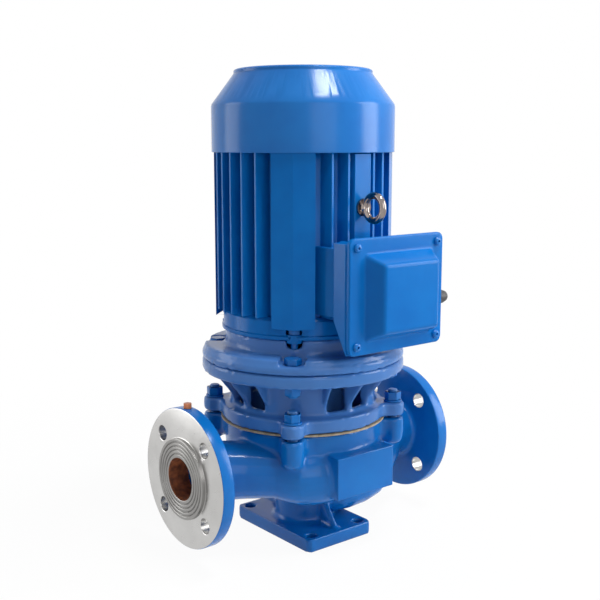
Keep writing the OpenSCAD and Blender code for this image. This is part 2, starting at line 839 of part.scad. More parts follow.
// Fins of one side, standing along +X, and shared by the four sides.
module fin_row(offsets) {
    for (y = offsets)
        let (root = fin_reach(tube_r - 3, y))
            translate([root, y - fin_t / 2, fin_bottom_z])
                cube([fin_reach(tip_r, y) - root, fin_t, frame_top_z - fin_bottom_z]);
}

// The solid corner: two flat faces that meet in an upright edge, with a raked underside.
module corner_block() {
    far = sqrt(tip_r * tip_r - block_off * block_off);
    edge = tip_r * cos(45);
    rake = 12.5;
    intersection() {
        translate([0, 0, fin_bottom_z - rake]) linear_extrude(frame_top_z - fin_bottom_z + rake)
            polygon([[block_off, block_off], [far, block_off], [edge, edge], [block_off, far]]);
        rotate([90, 0, 45]) linear_extrude(2 * tip_r, center = true) polygon([
            [tip_r + 1, fin_bottom_z - rake - 0.6], [block_off, fin_bottom_z + 19], [block_off, frame_top_z + 5],
            [tip_r + 1, frame_top_z + 5]
        ]);
    }
}

module stator_frame() {
    fins = [for (i = [-2:2]) i * fin_pitch];
    color(blue) difference() {
        union() {
            pillar(tube_r, fin_bottom_z - overlap, frame_top_z);
            turned([
                [0, frame_bottom_z], [ring_r + 2, frame_bottom_z], [ring_r + 2, frame_bottom_z + 4],
                [ring_r, frame_bottom_z + 5], [ring_r, fin_bottom_z - 4], [ring_r - 4, fin_bottom_z], [0, fin_bottom_z]
            ]);
            pillar(bell_in_r - seat_gap, frame_bottom_z - 6, frame_bottom_z + overlap);
            for (side = [0, 90, 180]) rotate([0, 0, side]) fin_row(fins);
            rotate([0, 0, 270]) fin_row([fins[0], fins[1], fins[3], fins[4]]);
            for (side = [0:3]) rotate([0, 0, side * 90]) corner_block();
            at_corners(shield_bolt_r) pillar(9, frame_bottom_z - 4, frame_bottom_z + 6);
            translate([-eye_pad_half, -tip_r, box_pad_z1 - overlap])
                cube([2 * eye_pad_half, tip_r - tube_r + 6, cover_bottom_z - box_pad_z1]);
            translate([box_pad_x0, -box_back, box_pad_z0])
                cube([box_pad_x1 - box_pad_x0, box_back - tube_r * 0.7, box_pad_z1 - box_pad_z0]);
        }
        pillar(tube_bore_r, frame_bottom_z - 8, frame_top_z + overlap);
        at_corners(shield_bolt_r) {
            pillar(shield_bolt_rad + 0.5, frame_bottom_z - 10, frame_bottom_z + 8);
            pillar(9.2, frame_bottom_z + 6, frame_bottom_z + 15);
            translate([0, -9.2, frame_bottom_z + 6]) cube([30, 18.4, 6.5]);
        }
        for (x = box_bolt_x, z = box_bolt_z) translate([x, -box_back, z]) rotate([-90, 0, 0])
            translate([0, 0, -overlap]) cylinder(r = box_bolt_rad + press_gap, h = 14);
        translate([board_x - cable_hole[0], -box_back - overlap, board_z - cable_hole[1]])
            cube([2 * cable_hole[0], box_back - 20, 2 * cable_hole[1]]);
        translate([0, -tip_r - overlap, eye_z]) rotate([-90, 0, 0])
            cylinder(r = eye_shank_r + press_gap, h = 19);
        at_corners(upper_screw_r) pillar(upper_screw_rad + press_gap, frame_top_z - 16, frame_top_z + overlap);
    }
}

module shield_bolts() {
    color(blue) at_corners(shield_bolt_r) translate([0, 0, frame_bottom_z + 6])
        hex_bolt(13, 5.5, shield_bolt_rad, 28);
}

module stator_core() {
    color("gray") translate([0, 0, core_z0]) linear_extrude(core_z1 - core_z0) difference() {
        circle(r = core_r);
        circle(r = stator_in_r);
        for (i = [1:slot_n]) rotate([0, 0, 360 * i / slot_n])
            translate([slot_r0, -slot_w / 2]) square([slot_r1 - slot_r0, slot_w]);
    }
}

module stator_windings() {
    ring = [slot_r0 - 1, slot_r1 + 4];
    gap = 0.2;
    color("darkorange") {
        for (z = [[core_z0 - 20, core_z0 - gap], [core_z1 + gap, core_z1 + 20]])
            turned([
                [ring[0], z[0] + 3], [ring[0] + 3, z[0]], [ring[1] - 3, z[0]], [ring[1], z[0] + 3],
                [ring[1], z[1] - 3], [ring[1] - 3, z[1]], [ring[0] + 3, z[1]], [ring[0], z[1] - 3]
            ]);
        for (i = [1:slot_n]) rotate([0, 0, 360 * i / slot_n])
            translate([slot_r0 + 2.5, -slot_w / 2 + gap, core_z0 - 4])
                cube([slot_r1 - slot_r0 - 3, slot_w - 2 * gap, core_z1 - core_z0 + 8]);
    }
}

module upper_end_shield() {
    top = shield_top_z + 6;
    color(blue) difference() {
        union() {
            turned([
                [0, frame_top_z], [shield_rim_r, frame_top_z], [shield_rim_r, shield_top_z - 2],
                [shield_rim_r - 2, shield_top_z], [upper_hub_r + 4, shield_top_z], [upper_hub_r, top], [0, top]
            ]);
            pillar(tube_bore_r - seat_gap, frame_top_z - 8, frame_top_z + overlap);
            pillar(upper_hub_r, upper_bearing_z - 4, frame_top_z);
            for (i = [0:7]) rotate([0, 0, 22.5 + 45 * i]) translate([upper_hub_r - 2, -2.5, shield_top_z - overlap])
                cube([34, 5, 6]);
        }
        difference() {
            pillar(tube_bore_r - 6, frame_top_z - 10, frame_top_z + 2);
            pillar(upper_hub_r, frame_top_z - 12, frame_top_z + 3);
        }
        pillar(bearing_r + press_gap, upper_bearing_z - 6, upper_bearing_z + bearing_w + washer_gap_z);
        pillar(journal_r + 1, upper_bearing_z, top + overlap);
        at_corners(upper_screw_r) pillar(upper_screw_rad + 0.4, frame_top_z - overlap, shield_top_z + overlap);
    }
}

module upper_shield_screws() {
    color(steel) at_corners(upper_screw_r) translate([0, 0, shield_top_z]) hex_bolt(10, 4, upper_screw_rad, 22);
}

module wave_washer() {
    color(steel) pipe(bearing_r - 0.3, bearing_r - 5, upper_bearing_z + bearing_w + 0.3, upper_bearing_z + bearing_w + 1.3);
}

// The grille: rings of slots, parted by spokes.
module grille_slots() {
    first = 14;
    pitch = (cover_top_d / 2 - 8 - first) / grille_rings;
    difference() {
        for (i = [0:grille_rings - 1]) difference() {
            circle(r = first + (i + 1) * pitch - 3);
            circle(r = first + i * pitch);
        }
        for (i = [0:3]) rotate([0, 0, 22.5 + 45 * i]) square([cover_top_d, 4], center = true);
    }
}

module fan_cover() {
    r = cover_d / 2;
    top_r = cover_top_d / 2;
    t = cover_t;
    curl = 5;
    color(blue) difference() {
        turned(concat(
            [[r - t, cover_bottom_z], [r, cover_bottom_z], [r, cone_z - 1.5], [r - 0.8, cone_z + 1.5]],
            [[top_r + 0.8, cover_top_z - curl]],
            shifted([for (a = [36, 54, 72, 90]) curl * [cos(a), sin(a)]], [top_r - curl * 0.6, cover_top_z - curl]),
            [[0, cover_top_z], [0, cover_top_z - t]],
            [[top_r - curl * 0.6, cover_top_z - t], [top_r - 0.8, cover_top_z - curl - 0.6]],
            [[r - t - 0.8, cone_z + 1], [r - t, cone_z - 2]]
        ));
        translate([0, 0, cover_top_z - 2 * t]) linear_extrude(3 * t) grille_slots();
    }
}

module eye_bolt() {
    color("gainsboro") translate([0, 0, eye_z]) {
        translate([0, -eye_y, 0]) rotate([0, 90, 0]) rotate_extrude() translate([eye_mid_r, 0]) circle(r = eye_wire_r);
        translate([0, -tip_r, 0]) rotate([90, 0, 0]) turned([
            [0, -17], [eye_shank_r - 1, -17], [eye_shank_r, -16], [eye_shank_r, 0.1], [10, 0.1], [10, eye_collar_h - 1],
            [6, eye_collar_h], [4, eye_collar_h + 3], [0, eye_collar_h + 3]
        ]);
    }
}

// The terminal box is drawn from the side and run across the frame.
module box_section(inset) {
    translate([box_x0 + inset, 0, 0]) rotate([90, 0, 90]) linear_extrude(box_x1 - box_x0 - 2 * inset) polygon([
        [-box_back - inset, box_low_z + inset * 1.3], [-box_back - inset, box_top_z - inset],
        [-box_front - (inset > 0 ? overlap : 0), box_top_z - inset],
        [-box_front - (inset > 0 ? overlap : 0), box_z0 + inset * 2.2]
    ]);
}

module terminal_box() {
    color(blue) difference() {
        union() {
            difference() {
                box_section(0);
                box_section(box_wall);
            }
            for (x = screw_x, z = screw_z) translate([x, -box_front, z]) rotate([-90, 0, 0])
                cylinder(r = 6, h = z > board_z ? box_depth - 1 : lid_screw_grip + 1);
        }
        for (x = screw_x, z = screw_z) translate([x, -box_front - overlap, z]) rotate([-90, 0, 0])
            cylinder(r = lid_screw_rad + press_gap, h = lid_screw_grip + 0.5 + overlap);
        for (x = box_bolt_x, z = box_bolt_z) translate([x, -box_back - 2 * box_wall, z]) rotate([-90, 0, 0])
            cylinder(r = box_bolt_rad + 0.4, h = 3 * box_wall);
        translate([board_x - cable_hole[0] + 6, -box_back - 2 * box_wall, board_z - cable_hole[1] + 5])
            cube([2 * cable_hole[0] - 12, 3 * box_wall, 2 * cable_hole[1] - 10]);
        for (z = [gland_z, plug_z]) translate([box_x1 - 2 * box_wall, -gland_y, z]) rotate([0, 90, 0])
            cylinder(r = gland_hole_r + seat_gap, h = 3 * box_wall);
    }
}

// A plate with round corners, standing upright and as thick as t, its back at y = -back.
module upright_plate(inset, r, back, t) {
    w = box_x1 - box_x0 - 2 * inset;
    h = box_z1 - box_z0 - 2 * inset;
    translate([(box_x0 + box_x1) / 2, -back, (box_z0 + box_z1) / 2]) rotate([90, 0, 0]) rounded_plate(w, h, t, r);
}

module screw_holes(r) {
    for (x = screw_x, z = screw_z) translate([x, -lid_front - overlap, z]) rotate([-90, 0, 0])
        cylinder(r = r, h = lid_t + box_gasket_t + 2 * overlap);
}

module terminal_box_gasket() {
    color("dimgray") difference() {
        upright_plate(1, 7, box_front, box_gasket_t);
        translate([box_x0 + 5, -lid_back - overlap, box_z0 + 16])
            cube([box_x1 - box_x0 - 10, 2 * overlap + box_gasket_t, box_z1 - box_z0 - 32]);
        translate([box_x0 + 18, -lid_back - overlap, box_z0 + 8])
            cube([box_x1 - box_x0 - 36, 2 * overlap + box_gasket_t, box_z1 - box_z0 - 16]);
        screw_holes(lid_screw_rad + 0.3);
    }
}

// The raised front: a block whose four sides lean in by the same amount.
module raised_front(x0, x1, z0, z1, back, front, lean) {
    intersection() {
        translate([0, 0, z0 - overlap]) linear_extrude(z1 - z0 + 2 * overlap)
            polygon([[x0, -back], [x1, -back], [x1 - lean, -front], [x0 + lean, -front]]);
        translate([x0 - overlap, 0, 0]) rotate([90, 0, 90]) linear_extrude(x1 - x0 + 2 * overlap)
            polygon([[-back, z0], [-back, z1], [-front, z1 - lean], [-front, z0 + lean]]);
    }
}

module terminal_box_lid() {
    x0 = box_x0 + 21;
    x1 = box_x1 - 16;
    z0 = box_z0 + 13;
    z1 = box_z1 - 16.5;
    lean = 12;
    t = 3;
    color(blue) difference() {
        union() {
            upright_plate(0, 8, lid_back, lid_t);
            raised_front(x0, x1, z0, z1, lid_front - overlap, lid_face, lean);
        }
        raised_front(x0 + t, x1 - t, z0 + t, z1 - t, lid_back - overlap, lid_face - t, lean);
        screw_holes(lid_screw_rad + 0.3);
    }
}

module lid_screws() {
    color(steel) for (x = screw_x, z = screw_z) translate([x, -lid_front, z]) rotate([90, 0, 0])
        pan_screw(5, 4, lid_screw_rad, lid_t + box_gasket_t + lid_screw_grip);
}

module box_screws() {
    color(steel) for (x = box_bolt_x, z = box_bolt_z) translate([x, -box_back - box_wall, z]) rotate([90, 0, 0])
        pan_screw(5, 3.6, box_bolt_rad, box_wall + 11);
}

board_half_x = 34;
board_half_z = 18;
board_t = 7;
stud_pitch = 20;
board_studs = [for (row = [-1, 1], col = [-1:1]) [board_x + col * stud_pitch, board_z + row * 9]];

module terminal_board() {
    color("saddlebrown") difference() {
        union() {
            translate([board_x - board_half_x, -box_back - box_wall - board_t, board_z - board_half_z])
                cube([2 * board_half_x, board_t, 2 * board_half_z]);
            for (col = [-0.5, 0.5])
                translate([board_x + col * stud_pitch - 1, -box_back - box_wall - board_t - 6, board_z - board_half_z])
                    cube([2, 7, 2 * board_half_z]);
        }
        for (p = board_studs) translate([p[0], -box_back - box_wall - board_t - overlap, p[1]]) rotate([-90, 0, 0])
            cylinder(r = 2.5 + press_gap, h = board_t + 2 * overlap);
    }
}

module terminal_studs() {
    color("gold") for (p = board_studs) translate([p[0], -box_back - box_wall - board_t, p[1]]) rotate([90, 0, 0]) {
        pillar(2.5, -board_t + 0.5, 11);
        hexagon(8, 4);
        translate([0, 0, 5]) hexagon(8, 3);
        pillar(4.4, 3.5, 5.5);
    }
}

module cable_gland() {
    color("dimgray") translate([box_x1, -gland_y, gland_z]) rotate([0, 90, 0]) difference() {
        union() {
            hexagon(17, 7);
            pillar(gland_hole_r - press_gap, -12, overlap);
            turned([[0, 6], [8.2, 6], [8.2, 14], [6.2, 20], [0, 20]]);
        }
        pillar(cable_r, -13, 21);
    }
}

module gland_nut() {
    color("dimgray") translate([box_x1 - box_wall - 4, -gland_y, gland_z]) rotate([0, 90, 0])
        hex_nut(15.5, gland_hole_r, 4);
}

module blanking_plug() {
    color("dimgray") translate([box_x1, -gland_y, plug_z]) rotate([0, 90, 0]) {
        turned([
            [0, -10], [gland_hole_r - press_gap, -10], [gland_hole_r - press_gap, 0], [8.2, 0], [8.2, 3], [7.2, 4], [0, 4]
        ]);
    }
}

// One ring of a ball bearing at height 0, with the race cut by a round groove.
module race_ring(r_out, r_in) {
    difference() {
        pipe(r_out, r_in, 0, bearing_w);
        rotate_extrude() translate([bearing_pitch_r, bearing_w / 2]) circle(r = ball_r + ball_gap);
    }
}

module at_bearings() {
    for (z = bearing_z) translate([0, 0, z]) children();
}

module bearing_outer_rings() {
    color(steel) at_bearings() race_ring(bearing_r, bearing_pitch_r + ball_r * 0.72);
}

module bearing_inner_rings() {
    color(steel) at_bearings() race_ring(bearing_pitch_r - ball_r * 0.72, journal_r + 0.03);
}

module at_balls() {
    at_bearings() for (i = [0:ball_n - 1]) rotate([0, 0, 360 * i / ball_n])
        translate([bearing_pitch_r, 0, bearing_w / 2]) children();
}

module bearing_balls() {
    color(steel) at_balls() sphere(r = ball_r);
}

module bearing_cages() {
    color("goldenrod") difference() {
        at_bearings() pipe(bearing_pitch_r + 1.4, bearing_pitch_r - 1.4, bearing_w / 2 - 5.6, bearing_w / 2 + 5.6);
        at_balls() rotate([0, 90, 0]) cylinder(r = ball_r + 0.15, h = 8, center = true);
    }
}

module motor_shaft() {
    rotor_z0 = core_z0 + 2;
    rotor_z1 = core_z1 - 2;
    key_r = imp_shaft_r - 3;
    color("lightgray") difference() {
        turned([
            [0, imp_bottom_z + 1], [7, imp_bottom_z + 1], [8, imp_bottom_z + 2], [8, hub_bottom_z + 2],
            [imp_shaft_r, hub_bottom_z + 2], [imp_shaft_r, hub_top_z], [shaft_r, hub_top_z],
            [shaft_r, lower_bearing_z - 3], [journal_r, lower_bearing_z - 2],
            [journal_r, lower_bearing_z + bearing_w], [journal_r + 3, lower_bearing_z + bearing_w],
            [journal_r + 3, rotor_z0 - 16], [rotor_shaft_r, rotor_z0 - 14], [rotor_shaft_r, rotor_z1 + 14],
            [journal_r + 2.5, upper_bearing_z], [journal_r, upper_bearing_z],
            [journal_r, upper_bearing_z + bearing_w + 1], [fan_shaft_r, upper_bearing_z + bearing_w + 3],
            [fan_shaft_r, circlip_z], [fan_shaft_r - 1, circlip_z], [fan_shaft_r - 1, circlip_z + 1.4],
            [fan_shaft_r, circlip_z + 1.4], [fan_shaft_r, shaft_top_z - 1], [fan_shaft_r - 1, shaft_top_z], [0, shaft_top_z]
        ]);
        translate([key_r, -3 - press_gap, hub_bottom_z + 6]) cube([6, 6 + 2 * press_gap, 24]);
    }
}

module impeller_key() {
    color("gray") translate([imp_shaft_r - 3 + press_gap, -3, hub_bottom_z + 6.1]) cube([5.8, 6, 23.8]);
}

module impeller_washer() {
    color(steel) pipe(15, 8 + press_gap, hub_bottom_z - 2, hub_bottom_z - 0.1);
}

module impeller_nut() {
    color(steel) translate([0, 0, hub_bottom_z - 2.1 - 9]) hex_nut(22, 8 + press_gap, 9);
}

// A backward vane from the eye to the rim, drawn along a logarithmic spiral.
module vane() {
    r0 = 25;
    sweep = 100;
    n = 10;
    radii = [for (i = [0:n]) r0 * pow((imp_r + 2) / r0, i / n)];
    lean = sweep * PI / 180 / ln((imp_r + 2) / r0);
    half = vane_t / 2;
    line = [for (i = [0:n]) radii[i] * [cos(sweep * i / n), sin(sweep * i / n)]];
    normals = [
        for (i = [0:n])
            let (a = sweep * i / n, v = [cos(a) - lean * sin(a), sin(a) + lean * cos(a)]) [-v[1], v[0]] / norm(v)
    ];
    polygon(concat(
        [for (i = [0:n]) line[i] + half * normals[i]],
        [for (i = [n:-1:0]) line[i] - half * normals[i]]
    ));
}

module impeller() {
    color("darkgoldenrod") difference() {
        union() {
            turned([
                [0, hub_bottom_z], [hub_r - 2, hub_bottom_z], [hub_r, hub_bottom_z + 9], [28, outlet_z1 - 5],
                [45, outlet_z1 - 1], [imp_r, outlet_z1], [imp_r, imp_back_z], [26, imp_back_z + 1],
                [hub_r + 2, imp_back_z + 4], [hub_r, hub_top_z], [0, hub_top_z]
            ]);
            turned([
                [eye_r, imp_bottom_z], [collar_r, imp_bottom_z], [collar_r, imp_bottom_z + 11],
                [imp_r, outlet_z0 - shroud_t], [imp_r, outlet_z0], [eye_r + 10, outlet_z0 - 7],
                [eye_r + 2, imp_bottom_z + 14], [eye_r, imp_bottom_z + 9]
            ]);
            intersection() {
                for (i = [0:vane_n - 1]) rotate([0, 0, 360 * i / vane_n])
                    translate([0, 0, imp_bottom_z]) linear_extrude(imp_back_z - imp_bottom_z) vane();
                turned([
                    [hub_r + 1, hub_bottom_z + 3], [eye_r + 3, imp_bottom_z + 13], [eye_r + 10, outlet_z0 - 8],
                    [imp_r - 0.4, outlet_z0 - 1], [imp_r - 0.4, outlet_z1 + 1], [45, outlet_z1], [28, outlet_z1 - 4],
                    [hub_r, hub_bottom_z + 12]
                ]);
            }
        }
        pillar(imp_shaft_r + 0.03, hub_bottom_z - overlap, hub_top_z + overlap);
        translate([0, -3 - press_gap, hub_bottom_z - overlap])
            cube([imp_shaft_r + 3, 6 + 2 * press_gap, hub_top_z - hub_bottom_z + 2 * overlap]);
    }
}

module slinger_ring() {
    z = shield_z0 - 6;
    color("black") turned([
        [shaft_r + 0.03, z], [shaft_r + 7, z], [shaft_r + 7, z + 2], [shaft_r + 3, z + 4],
        [shaft_r + 8, z + 5.5], [shaft_r + 7, z + 5.6], [shaft_r + 0.03, z + 5.6]
    ]);
}

module rotor_core() {
    color("gray") translate([0, 0, core_z0 + 2]) linear_extrude(core_z1 - core_z0 - 4) difference() {
        circle(r = rotor_r);
        circle(r = rotor_shaft_r + 0.03);
        for (i = [1:cage_n]) rotate([0, 0, 360 * i / cage_n]) translate([cage_r, 0]) circle(r = cage_bar_r + press_gap);
    }
}

module rotor_cage() {
    low = core_z0 + 1.9;
    high = core_z1 - 1.9;
    color("lightsteelblue") {
        for (i = [1:cage_n]) rotate([0, 0, 360 * i / cage_n]) translate([cage_r, 0, 0])
            pillar(cage_bar_r, low - overlap, high + overlap);
        for (z = [low - end_ring_h, high]) pipe(rotor_r - 1, 30, z, z + end_ring_h);
        for (i = [0:7], z = [low - end_ring_h - 7, high + end_ring_h - overlap])
            rotate([0, 0, 45 * i]) translate([33, -1.5, z]) cube([9, 3, 8]);
    }
}

module cooling_fan() {
    color("darkslategray") difference() {
        union() {
            turned([
                [0, fan_z], [44, fan_z], [46, fan_z + 3], [24, fan_z + 5], [20, fan_z + fan_h], [0, fan_z + fan_h]
            ]);
            for (i = [0:7]) rotate([90, 0, 45 * i]) linear_extrude(2.6, center = true) polygon([
                [17, fan_z + 1], [42, fan_z + 1], [fan_r, fan_z + 8], [fan_r, fan_blade_top - 6],
                [fan_r - 8, fan_blade_top], [32, fan_blade_top], [17, fan_z + fan_h - 2]
            ]);
        }
        pillar(fan_shaft_r + 0.03, fan_z - overlap, fan_z + fan_h + overlap);
    }
}

module fan_circlip() {
    color(steel) difference() {
        pipe(fan_shaft_r + 3, fan_shaft_r - 1 + press_gap, circlip_z + 0.1, circlip_z + 1.3);
        translate([0, -4, circlip_z - 1]) cube([20, 8, 4]);
    }
}

pump_casing();
wear_ring();
drain_plug();
gauge_plug();
casing_gasket();
casing_studs();
casing_washers();
casing_nuts();
lantern_bracket();
seal_seat();
flange_end_shield();
flange_bolts();
flange_nuts();
stator_frame();
shield_bolts();
stator_core();
stator_windings();
upper_end_shield();
upper_shield_screws();
wave_washer();
fan_cover();
eye_bolt();
terminal_box();
terminal_box_gasket();
terminal_box_lid();
lid_screws();
box_screws();
terminal_board();
terminal_studs();
cable_gland();
gland_nut();
blanking_plug();
bearing_outer_rings();
bearing_inner_rings();
bearing_balls();
bearing_cages();
motor_shaft();
rotor_core();
rotor_cage();
impeller();
impeller_key();
impeller_washer();
impeller_nut();
seal_head();
seal_spring();
slinger_ring();
cooling_fan();
fan_circlip();
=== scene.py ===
# Vertical in-line pump: castings, paint and bright metal over the CAD frame.
from math import cos, radians, sin

import bmesh
import bpy
from mathutils import Matrix, Vector


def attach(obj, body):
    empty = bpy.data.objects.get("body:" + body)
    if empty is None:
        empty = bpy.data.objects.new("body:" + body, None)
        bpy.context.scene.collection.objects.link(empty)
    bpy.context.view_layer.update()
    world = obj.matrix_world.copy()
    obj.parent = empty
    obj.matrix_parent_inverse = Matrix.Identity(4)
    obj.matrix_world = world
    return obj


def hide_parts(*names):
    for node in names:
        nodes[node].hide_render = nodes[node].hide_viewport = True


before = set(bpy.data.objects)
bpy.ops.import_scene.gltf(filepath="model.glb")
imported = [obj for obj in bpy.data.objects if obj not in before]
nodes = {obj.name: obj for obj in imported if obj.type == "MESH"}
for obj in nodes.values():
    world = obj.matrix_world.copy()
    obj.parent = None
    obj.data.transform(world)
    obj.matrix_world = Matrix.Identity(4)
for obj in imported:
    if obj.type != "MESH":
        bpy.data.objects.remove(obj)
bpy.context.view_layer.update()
print("frame loaded:", len(nodes), "nodes")

# Camera, matched to the photograph.
cameraPlace = {"spot": (-0.7356, -0.9098, 0.4849), "turn": -38.78, "tilt": 9.32, "lens": 57.42}


def placeCamera(place):
    data = bpy.data.cameras.new("camera")
    data.lens = place["lens"]
    data.sensor_width = 36
    data.clip_end = 50
    camera = bpy.data.objects.new("camera", data)
    camera.location = place["spot"]
    camera.rotation_euler = (radians(90 - place["tilt"]), 0, radians(place["turn"]))
    bpy.context.scene.collection.objects.link(camera)
    bpy.context.scene.camera = camera


placeCamera(cameraPlace)
bpy.context.scene.view_settings.view_transform = "Standard"

# Light: a strong wide lamp on the right, a narrow one overhead, weak ones in front and on the left.
lamps = [
    {"name": "topLamp", "spot": (0.18, -0.60, 1.90), "aim": (0, 0, 0.5), "size": (0.62, 0.26), "watts": 25},
    {"name": "rightLamp", "spot": (1.50, -1.25, 0.90), "aim": (0, 0, 0.3), "size": (0.9, 1.4), "watts": 32},
    {"name": "frontLamp", "spot": (-0.50, -2.05, 1.0), "aim": (0, 0, 0.3), "size": (1.2, 1.2), "watts": 8.5},
    {"name": "leftLamp", "spot": (-1.30, 1.30, 0.60), "aim": (0, 0, 0.3), "size": (0.8, 1.6), "watts": 14},
]


def placeLamp(lamp):
    data = bpy.data.lights.new(lamp["name"], "AREA")
    data.shape = "RECTANGLE"
    data.size, data.size_y = lamp["size"]
    data.energy = lamp["watts"]
    light = bpy.data.objects.new(lamp["name"], data)
    light.location = lamp["spot"]
    light.rotation_euler = (Vector(lamp["aim"]) - Vector(lamp["spot"])).to_track_quat("-Z", "Y").to_euler()
    bpy.context.scene.collection.objects.link(light)


for lamp in lamps:
    placeLamp(lamp)


# Node helpers for the finishes.


def freshMaterial(name):
    material = bpy.data.materials.new(name)
    material.use_nodes = True
    tree = material.node_tree
    return material, tree, tree.nodes["Principled BSDF"]


def objectPlace(tree, centre=(0, 0, 0)):
    coords = tree.nodes.new("ShaderNodeTexCoord")
    mapping = tree.nodes.new("ShaderNodeMapping")
    mapping.inputs["Location"].default_value = [-along for along in centre]
    tree.links.new(coords.outputs["Object"], mapping.inputs["Vector"])
    return mapping.outputs["Vector"]


def noise(tree, place, scale, detail=3):
    texture = tree.nodes.new("ShaderNodeTexNoise")
    texture.inputs["Scale"].default_value = scale
    texture.inputs["Detail"].default_value = detail
    tree.links.new(place, texture.inputs["Vector"])
    return texture.outputs["Fac"]


def bands(tree, place, scale, kind, direction, wobble=0.0):
    texture = tree.nodes.new("ShaderNodeTexWave")
    texture.wave_type = kind
    if kind == "BANDS":
        texture.bands_direction = direction
    else:
        texture.rings_direction = direction
    texture.inputs["Scale"].default_value = scale
    texture.inputs["Distortion"].default_value = wobble
    tree.links.new(place, texture.inputs["Vector"])
    return texture.outputs["Fac"]


def tones(tree, value, stops):
    ramp = tree.nodes.new("ShaderNodeValToRGB")
    for element, (position, colour) in zip(ramp.color_ramp.elements, stops):
        element.position = position
        element.color = (*colour, 1)
    tree.links.new(value, ramp.inputs["Fac"])
    return ramp.outputs["Color"]


def between(tree, value, low, high):
    span = tree.nodes.new("ShaderNodeMapRange")
    span.inputs["To Min"].default_value = low
    span.inputs["To Max"].default_value = high
    tree.links.new(value, span.inputs["Value"])
    return span.outputs["Result"]


def bumps(tree, shader, layers):
    last = None
    for height, strength, distance in layers:
        bump = tree.nodes.new("ShaderNodeBump")
        bump.inputs["Strength"].default_value = strength
        bump.inputs["Distance"].default_value = distance
        tree.links.new(height, bump.inputs["Height"])
        if last:
            tree.links.new(last, bump.inputs["Normal"])
        last = bump.outputs["Normal"]
    tree.links.new(last, shader.inputs["Normal"])


# Finishes.
portHeight = 0.102

# How often a wave texture of scale 1 repeats in one unit.
wavesPerUnit = 3.1831
enamelLook = {
    "main": (0.003, 0.142, 0.460), "deep": (0.002, 0.120, 0.415), "rough": (0.17, 0.24),
    "cloud": 18, "gloss": 60, "sand": 420, "sandHeight": 0.0006, "ripple": 45, "rippleHeight": 0.0015,
}


# Blue enamel. Castings show a little of the sand under it, sheet and machined pieces almost none.
def enamel(name, sand, ripple, shine, paintedLight=0.0):
    look = enamelLook
    material, tree, shader = freshMaterial(name)
    place = objectPlace(tree)
    # The last argument lifts both tones toward white: painted light that makes a piece look more brightly
    # lit, not a paler enamel.
    deep, main = ([part + paintedLight * (1 - part) for part in look[tone]] for tone in ("deep", "main"))
    cloud = noise(tree, place, look["cloud"], 4)
    gloss = noise(tree, place, look["gloss"])
    grains = noise(tree, place, look["sand"])
    waves = noise(tree, place, look["ripple"], 2)
    tree.links.new(tones(tree, cloud, [(0.35, deep), (0.65, main)]), shader.inputs["Base Color"])
    tree.links.new(between(tree, gloss, *look["rough"]), shader.inputs["Roughness"])
    shader.inputs["Specular IOR Level"].default_value = shine
    bumps(tree, shader, [(grains, sand, look["sandHeight"]), (waves, ripple, look["rippleHeight"])])
    return material


# Bright metal turned on a lathe: rings round the axis that the piece was turned on.
def turnedMetal(name, light, dark, rough, centre, axis, pitch, depth):
    material, tree, shader = freshMaterial(name)
    place = objectPlace(tree, centre)
    rings = bands(tree, place, 1 / pitch, "RINGS", axis, 1.2)
    cloud = noise(tree, place, 30, 4)
    tree.links.new(tones(tree, cloud, [(0.3, dark), (0.7, light)]), shader.inputs["Base Color"])
    tree.links.new(between(tree, noise(tree, place, 120), *rough), shader.inputs["Roughness"])
    shader.inputs["Metallic"].default_value = 1
    shader.inputs["Anisotropic"].default_value = 0.4
    bumps(tree, shader, [(rings, depth, 0.0001)])
    return material


def plainMetal(name, light, dark, rough, grain=300, depth=0.1):
    material, tree, shader = freshMaterial(name)
    place = objectPlace(tree)
    cloud = noise(tree, place, 80)
    tree.links.new(tones(tree, cloud, [(0.3, dark), (0.7, light)]), shader.inputs["Base Color"])
    tree.links.new(between(tree, noise(tree, place, grain, 2), *rough), shader.inputs["Roughness"])
    shader.inputs["Metallic"].default_value = 1
    bumps(tree, shader, [(noise(tree, place, grain, 2), depth, 0.0002)])
    return material


def softMatter(name, light, dark, rough, grain=400, depth=0.3, gloss=0.5):
    material, tree, shader = freshMaterial(name)
    place = objectPlace(tree)
    cloud = noise(tree, place, 150, 4)
    tree.links.new(tones(tree, cloud, [(0.35, dark), (0.65, light)]), shader.inputs["Base Color"])
    tree.links.new(between(tree, noise(tree, place, grain, 2), *rough), shader.inputs["Roughness"])
    shader.inputs["Specular IOR Level"].default_value = gloss
    bumps(tree, shader, [(noise(tree, place, grain, 3), depth, 0.0003)])
    return material


# Fine turns along an axis, a pitch apart: a thread, a stack of laminations, a wound coil.
def ribbed(name, light, dark, rough, direction, pitch, depth, metal=1):
    material, tree, shader = freshMaterial(name)
    place = objectPlace(tree)
    turns = bands(tree, place, 1 / pitch / wavesPerUnit, "BANDS", direction)
    # The colour darkens in each trough of the turns: painted shade in the grooves of threads and coils, and
    # the real dark joints of laminations.
    tree.links.new(tones(tree, turns, [(0.2, dark), (0.8, light)]), shader.inputs["Base Color"])
    shader.inputs["Roughness"].default_value = rough
    shader.inputs["Metallic"].default_value = metal
    bumps(tree, shader, [(turns, depth, 0.0005)])
    return material


